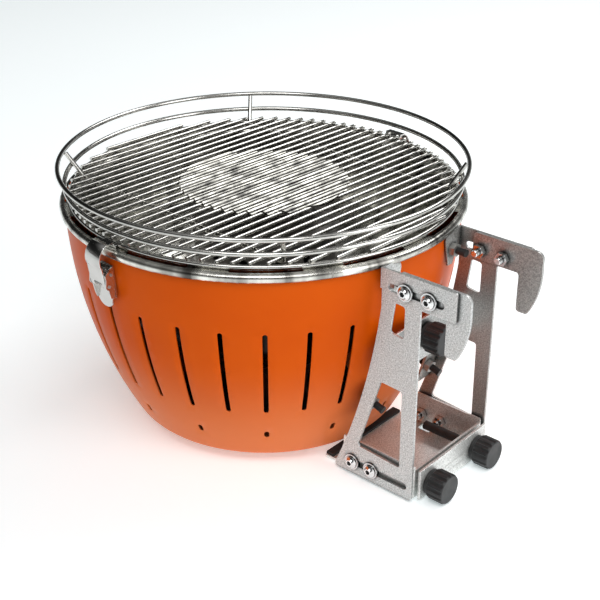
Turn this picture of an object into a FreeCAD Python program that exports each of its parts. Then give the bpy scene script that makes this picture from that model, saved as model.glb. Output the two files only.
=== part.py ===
import FreeCAD, Part
import math
import os
import Sketcher

# Fan-assisted charcoal tabletop grill with a railing bracket, in millimetres.
# Origin: centre of the base, on the surface the grill stands on. +Z is up.
# +X points from the bowl's axis out through the bracket. The clips sit near +Y and -Y.

doc = FreeCAD.newDocument("tabletop_grill")

# ---------------------------------------------------------------- driving dimensions
DIMENSIONS = [
    # bowls and rim
    ("rim_radius", 175.0), ("rim_height", 201.0), ("rim_plateau_rise", 4.3), ("rim_roll", 4.0),
    ("rim_slot_radius", 168.0), ("rim_slot_width", 4.2), ("rim_slot_arc", 19.0), ("rim_slot_count", 12),
    ("rim_slot_turn", 13.0), ("bowl_top_radius", 170.8), ("bowl_wall_arc", 400.0),
    ("bowl_low_radius", 123.5), ("bowl_low_height", 16.0), ("bowl_corner", 16.5),
    ("bowl_flat_radius", 108.8), ("bowl_floor", 7.0), ("bowl_hole", 78.0), ("bowl_sheet", 1.2),
    ("bowl_turn", -5.5), ("vent_count", 30), ("vent_width", 4.1), ("vent_top_drop", 49.5),
    ("vent_foot_drop", 132.7), ("port_count", 15), ("port_drop", 161.0), ("port_length", 7.6),
    ("liner_sheet", 0.8), ("liner_mouth", 157.0), ("liner_shoulder", 149.0),
    ("liner_shoulder_height", 140.0), ("liner_floor_radius", 100.0), ("liner_floor", 84.0),
    ("liner_hole", 50.0), ("liner_arc", 82.0), ("liner_bend", 6.0),
    # base, fan, batteries and speed knob
    ("foot_radius", 86.0), ("pan_sheet", 3.0), ("pan_spigot", 7.0), ("pan_fit", 0.2),
    ("screw_circle", 82.0), ("base_screw", 1.5), ("base_screw_head", 2.9), ("base_screw_sink", 1.6),
    ("duct_radius", 54.0), ("duct_shoulder", 50.0), ("duct_wall", 2.0), ("nozzle_radius", 24.0),
    ("nozzle_foot", 77.0), ("nozzle_top", 90.0), ("fan_radius", 32.0), ("fan_hub", 13.0),
    ("fan_height", 14.0), ("fan_level", 33.0), ("blade_count", 9), ("blade_sheet", 1.2),
    ("motor_radius", 12.0), ("motor_height", 16.0), ("motor_foot", 12.0), ("shaft_radius", 1.5),
    ("running_gap", 0.05), ("cell_radius", 7.25), ("cell_length", 50.0), ("cell_offset", 61.8),
    ("knob_radius", 15.0), ("knob_depth", 14.0), ("knob_drop", 146.0), ("knob_stem", 3.0),
    ("knob_wall", 141.7), ("knob_azimuth", 162.5), ("knob_tilt", 22.0), ("knob_stand", 1.6),
    ("switch_radius", 9.0), ("switch_depth", 12.0),
    # charcoal parts
    ("dish_radius", 66.0), ("dish_height", 12.0), ("dish_hole", 26.0), ("basket_radius", 62.0),
    ("basket_foot", 86.0), ("basket_floor", 98.0), ("basket_top", 172.0), ("basket_sheet", 0.9),
    ("basket_hole", 3.6), ("basket_rows", 3), ("basket_columns", 14), ("lid_radius", 64.5),
    ("lid_step", 58.0), ("lid_crown", 44.0), ("lid_rise", 9.0),
    # grate and fence
    ("grate_radius", 165.4), ("grate_wire", 4.0), ("bar_wire", 3.0), ("bar_pitch", 10.0),
    ("bar_count", 33), ("rod_offset", 99.0), ("rod_half", 121.5), ("rod_bend", 8.0),
    ("post_reach", 10.4), ("post_length", 26.6), ("post_tilt", 64.4), ("grate_turn", -2.8),
    ("disc_radius", 73.0), ("disc_sheet", 1.0), ("wave_depth", 4.2), ("fence_radius", 174.0),
    ("fence_rise", 32.5), ("mid_ring_radius", 169.2), ("mid_ring_rise", 18.8), ("fence_wire", 4.0),
    ("lift_gap", 0.3),
    # rim clips
    ("clip_azimuth", -93.0), ("clip_sheet", 1.2), ("strap_width", 18.0), ("clip_gap", 0.4),
    ("clip_pivot_radius", 176.5), ("clip_pivot_drop", 15.0), ("strap_pivot_radius", 179.0),
    ("strap_pivot_drop", 24.5), ("pin_radius", 1.25), ("pin_gap", 0.06), ("eye_radius", 2.6),
    ("rivet_radius", 1.6), ("rivet_drop", 31.0), ("rivet_foot", 166.0), ("rivet_length", 5.0),
    ("lever_drop", 46.0), ("lever_tip_rise", 10.5), ("base_ear_drop", 10.0), ("base_foot_drop", 38.0),
    ("strap_bend_radius", 184.0), ("strap_bend_drop", 9.0), ("strap_hook_radius", 168.0),
    # railing bracket
    ("plate_face", 52.7), ("plate_sheet", 2.0), ("slide_gap", 0.2), ("plate_edge", 169.5),
    ("plate_post", 206.0), ("plate_nose", 238.0), ("nose_drop", 24.5), ("plate_base", 1.5),
    ("plate_heel", 126.5), ("heel_rise", 3.5), ("edge_top_drop", 34.0), ("edge_arc", 600.0),
    ("upper_slot_drop", 14.2), ("upper_slot_start", 175.4), ("upper_slot_end", 226.9),
    ("lower_slot_rise", 13.2), ("lower_slot_start", 140.4), ("lower_slot_end", 201.0),
    ("slot_width", 6.5), ("bolt_radius", 3.0), ("bolt_length", 16.0), ("head_radius", 5.5),
    ("head_height", 3.2), ("socket_radius", 2.3), ("washer_radius", 7.0), ("washer_sheet", 1.3),
    ("washer_gap", 0.1), ("hook_bolt_inner", 191.5), ("hook_bolt_outer", 213.4),
    ("tray_bolt_inner", 144.7), ("tray_bolt_outer", 164.5), ("window_corner", 2.5),
    ("window_upper_inner", 182.0), ("window_upper_outer", 192.0), ("window_upper_foot", 178.5),
    ("window_upper_inner_drop", 25.8), ("window_upper_outer_drop", 26.5),
    ("window_upper_base_drop", 54.5), ("window_upper_foot_drop", 52.5),
    ("window_lower_inner", 171.6), ("window_lower_outer", 192.3), ("window_lower_base", 193.0),
    ("window_lower_foot", 150.0), ("window_lower_inner_drop", 99.8), ("window_lower_outer_drop", 101.0),
    ("window_lower_base_drop", 172.5), ("window_lower_foot_drop", 169.5),
    ("nut_radius", 5.77), ("nut_height", 5.0), ("hook_sheet", 2.5), ("hook_start", 184.0),
    ("hook_end", 248.5), ("hook_throat", 228.0), ("rail_gap_drop", 22.8), ("beak_drop", 56.5),
    ("tab_sheet", 2.0), ("tab_face", 168.0), ("tab_drop", 30.0), ("tab_inner", 29.5),
    ("tab_root", 46.0), ("tab_root_drop", 17.5), ("tab_corner", 8.0),
    ("bumper_side", 39.5), ("bumper_drop", 16.5), ("bumper_radius", 4.5), ("bumper_length", 16.0),
    ("low_tab_drop", 131.0), ("low_tab_tilt", 17.0), ("low_tab_length", 38.0),
    ("low_tab_width", 20.0), ("low_tab_radius", 151.0),
    ("upper_tip", 1.75), ("lower_tip", 6.4), ("tip_flare", 1.8), ("tip_gap", 0.05),
    ("tray_wall", 2.0), ("tray_gap", 2.2), ("tray_rise", 32.0), ("tray_back", 132.0),
    ("tray_front", 205.0), ("tray_corner", 1.9), ("notch_start", 147.0), ("notch_length", 12.0),
    ("notch_width", 9.0), ("notch_inset", 5.0),
    ("tray_front_rise", 27.0), ("tongue_side", 48.0), ("tongue_end", 112.0), ("tongue_pad", 2.4),
    ("tongue_pad_length", 8.0), ("clamp_face", 208.0), ("clamp_sheet", 2.5), ("clamp_side", 47.0),
    ("clamp_rise", 29.5), ("screw_side", 32.6), ("screw_height", 13.4), ("screw_radius", 4.0),
    ("screw_end", 158.0), ("grip_radius", 13.0), ("grip_depth", 15.0), ("grip_hub_radius", 11.0),
    ("grip_hub_depth", 4.0), ("grip_reach", 7.0), ("grip_flutes", 14), ("flute_radius", 2.2),
    ("cross_face", 173.0), ("cross_top_drop", 61.5), ("cross_rise", 38.0),
    ("mid_screw_drop", 77.0), ("mid_pad_radius", 8.0), ("mid_pad_face", 164.0),
    ("mid_pad_depth", 3.3), ("mid_hub_face", 177.0),
]


class Size(float):
    """A number that remembers the spreadsheet formula it came from."""

    def __new__(cls, value, formula=None):
        size = super().__new__(cls, value)
        size.formula = formula or "(%r)" % float(value)
        return size

    def __add__(self, other):
        return join(self, "+", other, float(self) + float(other))

    def __radd__(self, other):
        return join(other, "+", self, float(other) + float(self))

    def __sub__(self, other):
        return join(self, "-", other, float(self) - float(other))

    def __rsub__(self, other):
        return join(other, "-", self, float(other) - float(self))

    def __mul__(self, other):
        return join(self, "*", other, float(self) * float(other))

    def __rmul__(self, other):
        return join(other, "*", self, float(other) * float(self))

    def __truediv__(self, other):
        return join(self, "/", other, float(self) / float(other))

    def __neg__(self):
        return Size(-float(self), "(0 - %s)" % self.formula)

    def __abs__(self):
        return self if float(self) >= 0 else -self

    def __index__(self):
        return int(float(self))


def formula_of(number):
    return number.formula if isinstance(number, Size) else "(%r)" % float(number)


def join(left, sign, right, value):
    return Size(value, "(%s %s %s)" % (formula_of(left), sign, formula_of(right)))


def half_chord(radius, offset):
    """Half the chord of a circle at a distance from its centre."""
    value = math.sqrt(float(radius) ** 2 - float(offset) ** 2)
    return Size(value, "sqrt(%s^2 - %s^2)" % (formula_of(radius), formula_of(offset)))


sheet = doc.addObject("Spreadsheet::Sheet", "dims")
dim = {}
for row, (alias, value) in enumerate(DIMENSIONS, start=1):
    sheet.set("A%d" % row, alias)
    sheet.set("B%d" % row, repr(value))
    sheet.setAlias("B%d" % row, alias)
    dim[alias] = Size(value, "dims." + alias)
doc.recompute()

nodes = {}
# bolts, washers and nuts by node, gathered while the plates are made
bolt_nodes = {}
HALF = "half"
CENTRE = 3
TINY = 1e-4
# how near an edge must lie to a named corner to be the one meant
NEAR = 0.05
TRAY_BOLTS = [dim["tray_bolt_inner"], dim["tray_bolt_outer"]]
HOOK_BOLTS = [dim["hook_bolt_inner"], dim["hook_bolt_outer"]]
# the rim's roll stops 15 degrees short of pointing straight down
ROLL_END_IN = math.sin(math.radians(15))
ROLL_END_DOWN = math.cos(math.radians(15))
# half the angle that one rim slot takes up
SLOT_HALF = math.radians(dim["rim_slot_arc"] / 2)


# ---------------------------------------------------------------- helpers
def bind(thing, **sizes):
    """Set sizes and tie each one to the spreadsheet formula that it came from."""
    for prop, size in sizes.items():
        setattr(thing, prop, int(size) if prop == "Occurrences" else float(size))
        if isinstance(size, Size):
            thing.setExpression(prop, size.formula)
    return thing


def place(thing, at=(0, 0, 0), axis=(0, 0, 1), angle=0):
    """Place an object; its position is tied to the spreadsheet, its turn too if it is a Size."""
    spot = FreeCAD.Vector(*[float(part) for part in at])
    turn = FreeCAD.Rotation(FreeCAD.Vector(*axis), float(angle))
    thing.Placement = FreeCAD.Placement(spot, turn)
    for letter, part in zip("xyz", at):
        if isinstance(part, Size):
            thing.setExpression(".Placement.Base." + letter, part.formula)
    if isinstance(angle, Size):
        thing.setExpression(".Placement.Rotation.Angle", angle.formula)
    return thing


ALONG = {"X": ((0, 1, 0), 90), "Y": ((1, 0, 0), -90), "Z": ((0, 0, 1), 0), "-Y": ((1, 0, 0), 90)}


def cylinder(name, radius, length, at=(0, 0, 0), along="Z"):
    rod = bind(doc.addObject("Part::Cylinder", name), Radius=radius, Height=length)
    return place(rod, at, *ALONG[along])


def cone(name, low_radius, high_radius, length, at=(0, 0, 0), along="Z"):
    horn = bind(doc.addObject("Part::Cone", name), Radius1=low_radius, Radius2=high_radius, Height=length)
    return place(horn, at, *ALONG[along])


def box(name, length, width, height, at=(0, 0, 0), axis=(0, 0, 1), angle=0):
    block = bind(doc.addObject("Part::Box", name), Length=length, Width=width, Height=height)
    return place(block, at, axis, angle)


def torus(name, radius, wire_radius, level):
    ring = bind(doc.addObject("Part::Torus", name), Radius1=radius, Radius2=wire_radius)
    return place(ring, (0, 0, level))


def fuse(name, pieces):
    whole = doc.addObject("Part::MultiFuse", name)
    whole.Shapes = pieces
    return whole


def cut(name, base, tools):
    """Base less every tool."""
    tool = tools[0] if len(tools) == 1 else fuse(name + "_tools", tools)
    result = doc.addObject("Part::Cut", name)
    result.Base = base
    result.Tool = tool
    return result


def group(name, pieces):
    """Several separate solids that share one node."""
    cluster = doc.addObject("Part::Compound", name)
    cluster.Links = pieces
    return cluster


def node(thing, label):
    thing.Label = label
    nodes[label] = thing
    return thing


def new_sketch(body, plane, name, offset=0):
    """A sketch on one of the body's own origin planes, moved along its normal by offset."""
    sketch = body.newObject("Sketcher::SketchObject", name)
    flat = [f for f in body.Origin.OriginFeatures if f.Role == plane][0]
    sketch.AttachmentSupport = [(flat, "")]
    sketch.MapMode = "FlatFace"
    sketch.AttachmentOffset = FreeCAD.Placement(FreeCAD.Vector(0, 0, float(offset)), FreeCAD.Rotation())
    if isinstance(offset, Size):
        sketch.setExpression(".AttachmentOffset.Base.z", offset.formula)
    return sketch


def add_arc(sketch, start, end, radius):
    """An arc that bulges to the right of the way to its end, or left if the radius is negative.

    Returns which of its ends, 1 or 2, is the start and which is the end.
    """
    chord = end - start
    right = FreeCAD.Vector(chord.y, -chord.x, 0).normalize()
    half = chord.Length / 2
    size = half if radius is HALF else abs(float(radius))
    reach = math.sqrt(max(size * size - half * half, 0))
    bulge_right = radius is HALF or float(radius) > 0
    centre = (start + end) / 2 + right * (-reach if bulge_right else reach)
    first, last = (start, end) if bulge_right else (end, start)
    begin = math.atan2(first.y - centre.y, first.x - centre.x)
    finish = math.atan2(last.y - centre.y, last.x - centre.x)
    circle = Part.Circle(centre, FreeCAD.Vector(0, 0, 1), size)
    sketch.addGeometry(Part.ArcOfCircle(circle, begin, finish if finish > begin else finish + 2 * math.pi))
    return (1, 2) if bulge_right else (2, 1)


def outline(sketch, corners):
    """A closed outline. Each corner is (x, y), or (x, y, radius of the arc to the next corner).

    HALF as the radius makes a half circle on the right of the way to the next corner.
    """
    points = [FreeCAD.Vector(float(c[0]), float(c[1]), 0) for c in corners]
    ends = []
    for index, corner in enumerate(corners):
        begin, finish = points[index], points[(index + 1) % len(corners)]
        if len(corner) < 3:
            sketch.addGeometry(Part.LineSegment(begin, finish))
            ends.append((1, 2))
        else:
            ends.append(add_arc(sketch, begin, finish, corner[2]))
    for index, corner in enumerate(corners):
        following = (index + 1) % len(corners)
        sketch.addConstraint(
            Sketcher.Constraint("Coincident", index, ends[index][1], following, ends[following][0]))
        pin(sketch, "DistanceX", corner[0], -1, 1, index, ends[index][0])
        pin(sketch, "DistanceY", corner[1], -1, 1, index, ends[index][0])
        if len(corner) < 3:
            continue
        if corner[2] is not HALF:
            pin(sketch, "Radius", abs(corner[2]), index)
        elif abs(points[index].x - points[following].x) < TINY:
            pin(sketch, "DistanceX", corner[0], -1, 1, index, CENTRE)
        else:
            pin(sketch, "DistanceY", corner[1], -1, 1, index, CENTRE)
    return sketch


def pin(sketch, kind, size, *where):
    """Add one size to a sketch and tie it to the spreadsheet."""
    number = sketch.addConstraint(Sketcher.Constraint(kind, *where, float(size)))
    if isinstance(size, Size):
        sketch.setExpression("Constraints[%d]" % number, size.formula)


def stadium(sketch, start, end, width, level):
    """A closed slot outline along the sketch's first axis, with round ends."""
    half = width / 2
    return outline(sketch, [
        (start + half, level - half), (end - half, level - half, HALF),
        (end - half, level + half), (start + half, level + half, HALF)])


def tall_stadium(sketch, low, high, width):
    """A closed slot outline up the sketch's second axis, centred on it."""
    half = width / 2
    return outline(sketch, [
        (half, low + half), (half, high - half, HALF), (-half, high - half), (-half, low + half, HALF)])


def arc_slot(sketch, radius, width):
    """A curved slot about the origin, centred on the first axis, with straight ends."""
    inner, outer = radius - width / 2, radius + width / 2
    across, up = math.cos(SLOT_HALF), math.sin(SLOT_HALF)
    return outline(sketch, [
        (inner * across, -up * inner), (outer * across, -up * outer, outer),
        (outer * across, outer * up), (inner * across, inner * up, -inner)])


def revolve(body, sketch, name):
    turn = body.newObject("PartDesign::Revolution", name)
    turn.Profile = sketch
    turn.ReferenceAxis = (sketch, ["V_Axis"])
    turn.Angle = 360
    return turn


def pad(body, sketch, length, name, backward=False, both=False):
    slab = body.newObject("PartDesign::Pad", name)
    slab.Profile = sketch
    slab.Reversed = backward
    slab.Midplane = both
    return bind(slab, Length=length)


def pocket(body, sketch, length, name, backward=False):
    hole = body.newObject("PartDesign::Pocket", name)
    hole.Profile = sketch
    hole.Reversed = backward
    return bind(hole, Length=length)


def around(body, feature, count, name):
    """The feature repeated evenly round the body's Z axis."""
    pattern = body.newObject("PartDesign::PolarPattern", name)
    pattern.Originals = [feature]
    axis = [f for f in body.Origin.OriginFeatures if f.Role == "Z_Axis"][0]
    pattern.Axis = (axis, [""])
    pattern.Angle = 360
    bind(pattern, Occurrences=count)
    body.Tip = pattern
    return pattern


def new_body(name):
    return doc.addObject("PartDesign::Body", name)


# ---------------------------------------------------------------- heights used in several places
rim = dim["rim_height"]
plateau = rim + dim["rim_plateau_rise"]
grate_level = plateau + dim["grate_wire"] / 2 + dim["lift_gap"]
bar_level = grate_level + (dim["grate_wire"] + dim["bar_wire"]) / 2


# ---------------------------------------------------------------- bowls
def make_outer_bowl(holes):
    """Painted bowl: deep curved shell with long air slots and a row of short ones below them."""
    sheet_metal = dim["bowl_sheet"]
    top = plateau - dim["liner_sheet"]
    body = new_body("vented_bowl")
    profile = new_sketch(body, "XZ_Plane", "bowl_profile")
    outline(profile, [
        (dim["bowl_hole"], dim["bowl_floor"]),
        (dim["bowl_flat_radius"], dim["bowl_floor"], dim["bowl_corner"]),
        (dim["bowl_low_radius"], dim["bowl_low_height"], dim["bowl_wall_arc"]),
        (dim["bowl_top_radius"], top),
        (dim["bowl_top_radius"] - sheet_metal, top, -dim["bowl_wall_arc"]),
        (dim["bowl_low_radius"] - sheet_metal, dim["bowl_low_height"] + 0.3, -dim["bowl_corner"]),
        (dim["bowl_flat_radius"] - 0.5, dim["bowl_floor"] + sheet_metal),
        (dim["bowl_hole"], dim["bowl_floor"] + sheet_metal)])
    revolve(body, profile, "bowl_shell")
    slot = new_sketch(body, "XZ_Plane", "vent_outline")
    tall_stadium(slot, rim - dim["vent_foot_drop"], rim - dim["vent_top_drop"], dim["vent_width"])
    around(body, pocket(body, slot, dim["rim_radius"], "vent", backward=True), dim["vent_count"], "vents")
    port = new_sketch(body, "XZ_Plane", "port_outline")
    low = rim - dim["port_drop"] - dim["port_length"] / 2
    tall_stadium(port, low, low + dim["port_length"], dim["vent_width"])
    around(body, pocket(body, port, dim["rim_radius"], "port", backward=True), dim["port_count"], "ports")
    place(body, angle=dim["bowl_turn"])
    return node(cut("outer_bowl_cut", body, holes), "outer_bowl")


def make_inner_bowl():
    """Polished inner bowl: stepped rim with slots and a rolled edge that hangs on the outer bowl."""
    skin = dim["liner_sheet"]
    bend = dim["liner_bend"]
    under = plateau - skin
    roll = dim["rim_roll"]
    edge = dim["rim_radius"] - roll
    mouth = dim["liner_mouth"]
    inner_roll = roll - skin
    roll_centre = plateau - roll
    body = new_body("inner_bowl")
    profile = new_sketch(body, "XZ_Plane", "liner_profile")
    outline(profile, [
        (dim["liner_hole"], dim["liner_floor"]),
        (dim["liner_floor_radius"], dim["liner_floor"], dim["liner_arc"]),
        (dim["liner_shoulder"], dim["liner_shoulder_height"]),
        (mouth, under - bend, -bend),
        (mouth + bend, under),
        (edge, under, -inner_roll),
        (edge + inner_roll * ROLL_END_IN, roll_centre - inner_roll * ROLL_END_DOWN),
        (edge + roll * ROLL_END_IN, roll_centre - roll * ROLL_END_DOWN, roll),
        (edge, plateau),
        (mouth + bend, plateau, bend + skin),
        (mouth - skin, under - bend),
        (dim["liner_shoulder"] - skin, dim["liner_shoulder_height"], -dim["liner_arc"]),
        (dim["liner_floor_radius"], dim["liner_floor"] + skin),
        (dim["liner_hole"], dim["liner_floor"] + skin)])
    revolve(body, profile, "liner_shell")
    slot = new_sketch(body, "XY_Plane", "rim_slot_outline", offset=plateau + 1)
    arc_slot(slot, dim["rim_slot_radius"], dim["rim_slot_width"])
    around(body, pocket(body, slot, dim["liner_bend"] / 2, "rim_slot"), dim["rim_slot_count"], "rim_slots")
    place(body, angle=dim["rim_slot_turn"])
    return node(body, "inner_bowl")


# ---------------------------------------------------------------- more helpers
def tube(name, outer, inner, length, at=(0, 0, 0), along="Z"):
    """A plain ring or sleeve."""
    wall = cylinder(name + "_outside", outer, length, (0, 0, 0))
    bore = cylinder(name + "_bore", inner, length, (0, 0, 0))
    return place(cut(name, wall, [bore]), at, *ALONG[along])


def hex_nut(name, at, along):
    """An M6 nut, seen from its first face along the given axis."""
    blank = doc.addObject("Part::Prism", name + "_blank")
    blank.Polygon = 6
    bind(blank, Circumradius=dim["nut_radius"], Height=dim["nut_height"])
    bore = cylinder(name + "_bore", dim["bolt_radius"], dim["nut_height"])
    return place(cut(name, blank, [bore]), at, *ALONG[along])


def button_bolt(name, at, along):
    """An M6 bolt with a domed head and a hexagon socket; its head's seat is at the given place."""
    reach, head, height = dim["bolt_radius"], dim["head_radius"], dim["head_height"]
    body = new_body(name)
    profile = new_sketch(body, "XZ_Plane", name + "_profile")
    outline(profile, [
        (0, 0), (0, -height), (dim["socket_radius"] + 0.7, -height, -head * 0.9),
        (head, -height / 4), (head, 0), (reach, 0), (reach, dim["bolt_length"] - 0.6),
        (reach - 0.6, dim["bolt_length"]), (0, dim["bolt_length"])])
    revolve(body, profile, name + "_turned")
    socket = new_sketch(body, "XY_Plane", name + "_socket", offset=-height)
    outline(socket, [(dim["socket_radius"] * math.cos(math.radians(60 * turn)),
                      dim["socket_radius"] * math.sin(math.radians(60 * turn))) for turn in range(6)])
    pocket(body, socket, height * 0.7, name + "_key", backward=True)
    return place(body, at, *ALONG[along])


def slab(name, offset, thickness, corners):
    """A flat plate in an XZ plane. It starts at y = -offset and grows towards -Y."""
    body = new_body(name)
    return body, pad(body, outline(new_sketch(body, "XZ_Plane", name + "_outline", offset), corners),
                     thickness, name + "_blank")


def round_corners(body, name, feature, corners, radius):
    """Round the edges that run along Y through the given (x, z) corners of the last feature."""
    doc.recompute()
    chosen = []
    for number, edge in enumerate(feature.Shape.Edges, start=1):
        ends = [vertex.Point for vertex in edge.Vertexes]
        if len(ends) != 2 or abs(ends[0].x - ends[1].x) > TINY or abs(ends[0].z - ends[1].z) > TINY:
            continue
        if any(abs(ends[0].x - x) < NEAR and abs(ends[0].z - z) < NEAR for x, z in corners):
            chosen.append("Edge%d" % number)
    fillet = body.newObject("PartDesign::Fillet", name)
    fillet.Base = (feature, chosen)
    return bind(fillet, Radius=radius)


def grip_knob(name, at, along="X"):
    """Fluted hand knob with a smaller hub, bored for its spindle. Its hub's face is at the place."""
    hub, hub_depth, grip = dim["grip_hub_radius"], dim["grip_hub_depth"], dim["grip_radius"]
    total = hub_depth + dim["grip_depth"]
    bore = dim["screw_radius"] + dim["running_gap"] / 2
    body = new_body(name)
    outline(new_sketch(body, "XZ_Plane", name + "_profile"), [
        (bore, 0), (hub, 0), (hub, hub_depth), (grip - 0.8, hub_depth), (grip, hub_depth + 0.8),
        (grip, total - 2, 2), (grip - 2, total), (0, total), (0, total - 3), (bore, total - 3)])
    revolve(body, doc.getObject(name + "_profile"), name + "_turned")
    flute = new_sketch(body, "XY_Plane", name + "_flute", offset=total)
    centre = grip + dim["flute_radius"] / 2
    flute.addGeometry(Part.Circle(FreeCAD.Vector(float(centre), 0, 0), FreeCAD.Vector(0, 0, 1),
                                  float(dim["flute_radius"])))
    pin(flute, "DistanceX", centre, -1, 1, 0, CENTRE)
    flute.addConstraint(Sketcher.Constraint("PointOnObject", 0, CENTRE, -1))
    pin(flute, "Radius", dim["flute_radius"], 0)
    groove = pocket(body, flute, dim["grip_depth"], name + "_groove")
    around(body, groove, dim["grip_flutes"], name + "_grooves")
    return place(body, at, *ALONG[along])


def bent_wire(name, spine_points, bend, wire_radius):
    """A round wire that starts on the body's YZ plane, bends once, and is mirrored across that plane."""
    body = new_body(name)
    spine = new_sketch(body, "XY_Plane", name + "_spine")
    (half, reach, rise) = spine_points
    slope = math.atan2(rise, reach)
    tangent = bend * math.tan(slope / 2)
    turned = (half + tangent * math.cos(slope), tangent * math.sin(slope))
    start, corner = FreeCAD.Vector(0, 0, 0), FreeCAD.Vector(float(half - tangent), 0, 0)
    finish = FreeCAD.Vector(float(half + reach), float(rise), 0)
    spine.addGeometry(Part.LineSegment(start, corner))
    add_arc(spine, corner, FreeCAD.Vector(float(turned[0]), float(turned[1]), 0), bend)
    spine.addGeometry(Part.LineSegment(FreeCAD.Vector(float(turned[0]), float(turned[1]), 0), finish))
    spine.addConstraint(Sketcher.Constraint("Coincident", 0, 1, -1, 1))
    spine.addConstraint(Sketcher.Constraint("Horizontal", 0))
    spine.addConstraint(Sketcher.Constraint("Tangent", 0, 2, 1, 1))
    spine.addConstraint(Sketcher.Constraint("Tangent", 1, 2, 2, 1))
    pin(spine, "Radius", bend, 1)
    pin(spine, "DistanceX", half + reach, -1, 1, 2, 2)
    pin(spine, "DistanceY", rise, -1, 1, 2, 2)
    section = new_sketch(body, "YZ_Plane", name + "_section")
    section.addGeometry(Part.Circle(FreeCAD.Vector(0, 0, 0), FreeCAD.Vector(0, 0, 1), float(wire_radius)))
    section.addConstraint(Sketcher.Constraint("Coincident", 0, CENTRE, -1, 1))
    pin(section, "Radius", wire_radius, 0)
    sweep = body.newObject("PartDesign::AdditivePipe", name + "_half")
    sweep.Profile = section
    sweep.Spine = spine
    mirrored = body.newObject("PartDesign::Mirrored", name + "_whole")
    mirrored.Originals = [sweep]
    plane = [f for f in body.Origin.OriginFeatures if f.Role == "YZ_Plane"][0]
    mirrored.MirrorPlane = (plane, [""])
    body.Tip = mirrored
    return body


def drop(amount):
    """Height of something that lies this far below the rim."""
    return rim - amount


# ---------------------------------------------------------------- base, fan and speed knob
def make_base():
    foot, hole, sheet_metal = dim["foot_radius"], dim["bowl_hole"], dim["pan_sheet"]
    spigot = hole - dim["pan_fit"]
    body = new_body("base_pan_turned")
    outline(new_sketch(body, "XZ_Plane", "pan_profile"), [
        (0, 0), (foot - 1, 0), (foot, 1), (foot, dim["bowl_floor"]), (spigot, dim["bowl_floor"]),
        (spigot, dim["bowl_floor"] + dim["pan_spigot"]), (spigot - 2, dim["bowl_floor"] + dim["pan_spigot"]),
        (spigot - 2, sheet_metal), (0, sheet_metal)])
    revolve(body, doc.getObject("pan_profile"), "pan_turned")
    bores, sinks, screws, nuts = [], [], [], []
    thread = dim["base_screw"]
    over = dim["bowl_floor"] + dim["bowl_sheet"]
    for number in range(4):
        turn = math.radians(45 + 90 * number)
        spot = (dim["screw_circle"] * math.cos(turn), dim["screw_circle"] * math.sin(turn))
        mark = "_%d" % number
        bores.append(cylinder("pan_bore" + mark, thread + dim["running_gap"], 30, spot + (0,)))
        sinks.append(cylinder("pan_sink" + mark, dim["base_screw_head"] + 0.2, dim["base_screw_sink"] + 1,
                              spot + (-1,)))
        screws.append(fuse("base_screw" + mark, [
            cylinder("base_screw_head" + mark, dim["base_screw_head"], 1.2, spot + (0.4,)),
            cylinder("base_screw_shank" + mark, thread, over + 2, spot + (1.0,))]))
        nuts.append(tube("base_nut" + mark, dim["base_screw_head"], thread, 2, spot + (over,)))
    node(cut("base_pan_cut", body, bores + sinks), "base_pan")
    node(group("base_screw_set", screws), "base_screws")
    node(group("base_nut_set", nuts), "base_nuts")
    return bores


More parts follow.
